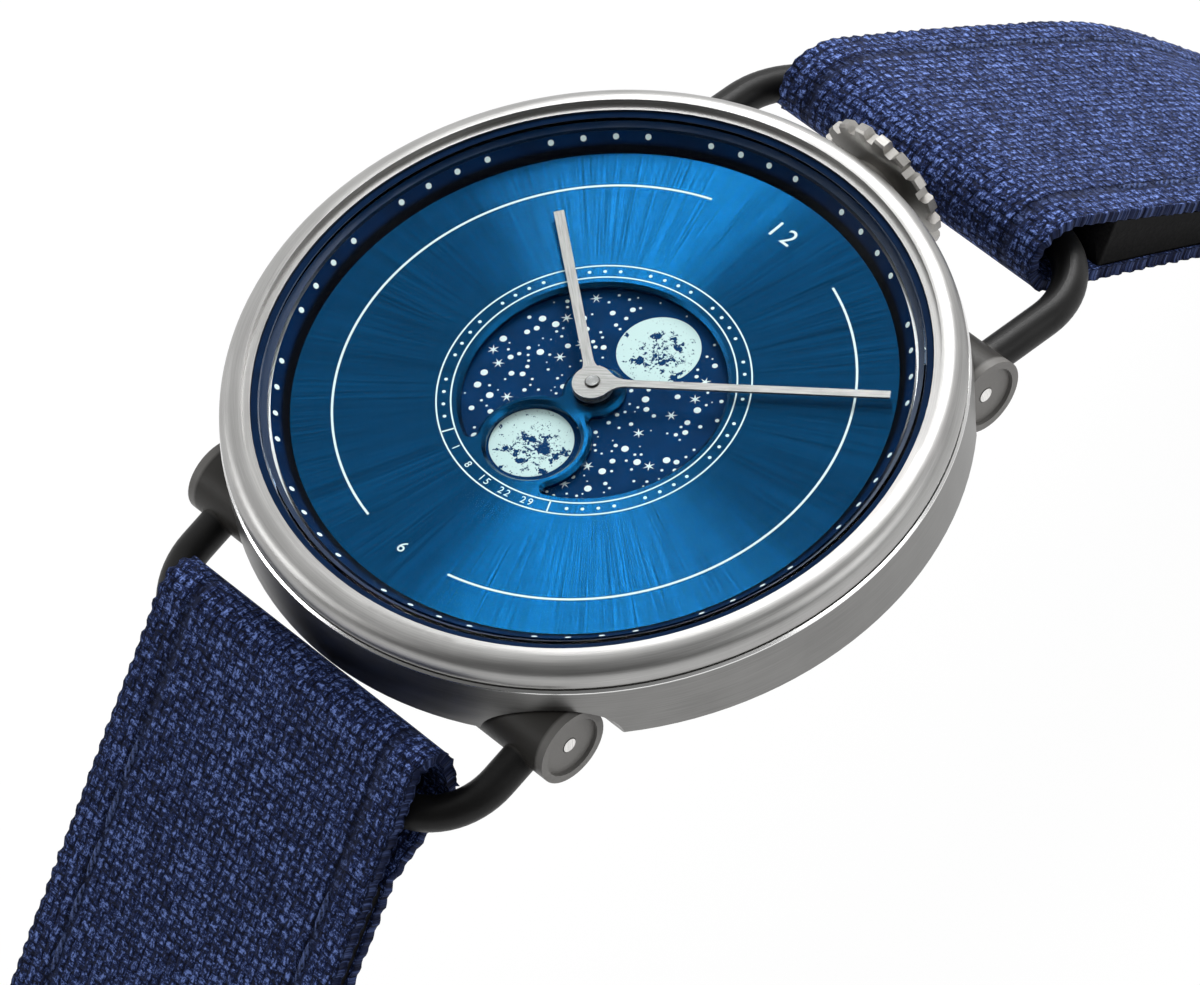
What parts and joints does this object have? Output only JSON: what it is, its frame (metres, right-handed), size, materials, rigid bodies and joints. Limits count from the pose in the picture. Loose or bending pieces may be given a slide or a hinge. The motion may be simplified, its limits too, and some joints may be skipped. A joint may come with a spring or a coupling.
{
  "type": "moon phase wristwatch",
  "caption": "Round steel wristwatch with a large open moon phase display, baton hands, toothed crown at 12, hinged black wire bails and a folded canvas strap with a pin buckle.",
  "frame": {"origin": "centre of the case back's outer face", "axes": "+Z out of the dial, +Y to 12 o'clock and the crown, +X to 3 o'clock"},
  "size_m": [0.041, 0.2208, 0.0459],
  "materials": {
    "steel": "circular brushing on the bezel, bead blasted on the flank and crown",
    "glass": "flat clear sapphire",
    "seal": "matt black",
    "flange": "satin dark blue with pale dots",
    "dial": "sunburst brushed blue",
    "sky": "blue with printed moons and stars",
    "hands": "fine brushed",
    "screw": "turned",
    "holder": "moulded",
    "plate": "nickelled brass",
    "gear": "cut brass",
    "cell": "plated",
    "board": "green lacquer",
    "winding": "enamelled copper wire",
    "iron": "plain soft iron",
    "black_wire": "satin black coating",
    "canvas": "coarse blue canvas weave",
    "lining": "matt black core",
    "black_steel": "satin black coating"
  },
  "bodies": {
    "case": {"case_middle": "steel", "bezel": "steel", "crystal": "glass", "crystal_gasket": "seal", "flange_ring": "flange", "dial": "dial", "case_back": "steel", "case_back_gasket": "seal", "case_back_screws": "screw", "crown_tube": "screw", "movement_ring": "holder", "main_plate": "plate", "train_bridge": "plate", "moon_plate": "plate", "battery": "cell", "battery_clamp": "cell", "circuit_board": "board", "coil": "winding", "stator": "iron", "movement_screws": "screw", "hinge_rod_12": "steel", "hinge_rod_6": "steel"},
    "minute": {"minute_hand": "hands", "cannon_pinion": "gear", "hand_cap": "hands"},
    "hour": {"hour_hand": "hands", "hour_wheel": "gear"},
    "minute_gear": {"minute_wheel": "gear"},
    "moon_drive": {"moon_drive_wheel": "gear"},
    "moon": {"moon_disc": "sky"},
    "lever": {"setting_lever": "screw"},
    "crown": {"crown": "steel", "stem": "screw", "crown_gasket": "seal"},
    "bail_12": {"bail_12": "black_wire"},
    "bail_6": {"bail_6": "black_wire"},
    "strap_12": {"strap_12_canvas": "canvas", "strap_12_lining": "lining", "keeper_fixed": "canvas"},
    "strap_6": {"strap_6_canvas": "canvas", "strap_6_lining": "lining"},
    "keeper": {"keeper_free": "canvas"},
    "buckle": {"buckle_frame": "black_steel", "buckle_bar": "black_steel"},
    "tongue": {"buckle_tongue": "black_steel"}
  },
  "joints": [
    {"name": "minute_turn", "type": "hinge", "parent": "case", "child": "minute", "pos_m": [0, 0, 0.0036], "axis": [0, 0, -1], "continuous": true},
    {"name": "hour_turn", "type": "hinge", "parent": "case", "child": "hour", "pos_m": [0, 0, 0.0039], "axis": [0, 0, -1], "continuous": true},
    {"name": "minute_wheel_turn", "type": "hinge", "parent": "case", "child": "minute_gear", "pos_m": [0, 0.00384, 0.0036], "axis": [0, 0, -1], "continuous": true},
    {"name": "moon_drive_turn", "type": "hinge", "parent": "case", "child": "moon_drive", "pos_m": [0.00823, 0, 0.0042], "axis": [0, 0, -1], "continuous": true},
    {"name": "moon_turn", "type": "hinge", "parent": "case", "child": "moon", "pos_m": [0, 0, 0.0048], "axis": [0, 0, -1], "continuous": true},
    {"name": "crown_pull", "type": "slide", "parent": "case", "child": "lever", "axis": [0, 1, 0], "range_m": [0, 0.0006]},
    {"name": "crown_turn", "type": "hinge", "parent": "lever", "child": "crown", "pos_m": [0, 0.0216, 0.0034], "axis": [0, 1, 0], "continuous": true},
    {"name": "bail_12_swing", "type": "hinge", "parent": "case", "child": "bail_12", "pos_m": [0, 0.0157, 0.00195], "axis": [1, 0, 0], "range_deg": [-50, 20]},
    {"name": "bail_6_swing", "type": "hinge", "parent": "case", "child": "bail_6", "pos_m": [0, -0.0157, 0.00195], "axis": [-1, 0, 0], "range_deg": [-50, 4]},
    {"name": "strap_12_swing", "type": "hinge", "parent": "bail_12", "child": "strap_12", "pos_m": [0, 0.02687, 0.0006], "axis": [1, 0, 0], "range_deg": [-8, 45]},
    {"name": "strap_6_swing", "type": "hinge", "parent": "bail_6", "child": "strap_6", "pos_m": [0, -0.02369, -0.00034], "axis": [-1, 0, 0], "range_deg": [-10, 1]},
    {"name": "keeper_slide", "type": "slide", "parent": "strap_12", "child": "keeper", "axis": [0, 1, 0], "range_m": [-0.0022, 0.0022]},
    {"name": "buckle_swing", "type": "hinge", "parent": "strap_12", "child": "buckle", "pos_m": [0, 0.0923, -0.03658], "axis": [1, 0, 0], "range_deg": [-4, 60]},
    {"name": "tongue_swing", "type": "hinge", "parent": "buckle", "child": "tongue", "pos_m": [0, 0.0923, -0.03658], "axis": [1, 0, 0], "range_deg": [0, 30]}
  ],
  "couplings": [
    {"joint": "hour_turn", "follows": "minute_turn", "ratio": 0.083333},
    {"joint": "minute_wheel_turn", "follows": "minute_turn", "ratio": -0.33333},
    {"joint": "moon_drive_turn", "follows": "minute_turn", "ratio": -0.011299},
    {"joint": "moon_turn", "follows": "minute_turn", "ratio": 0.00070621}
  ]
}
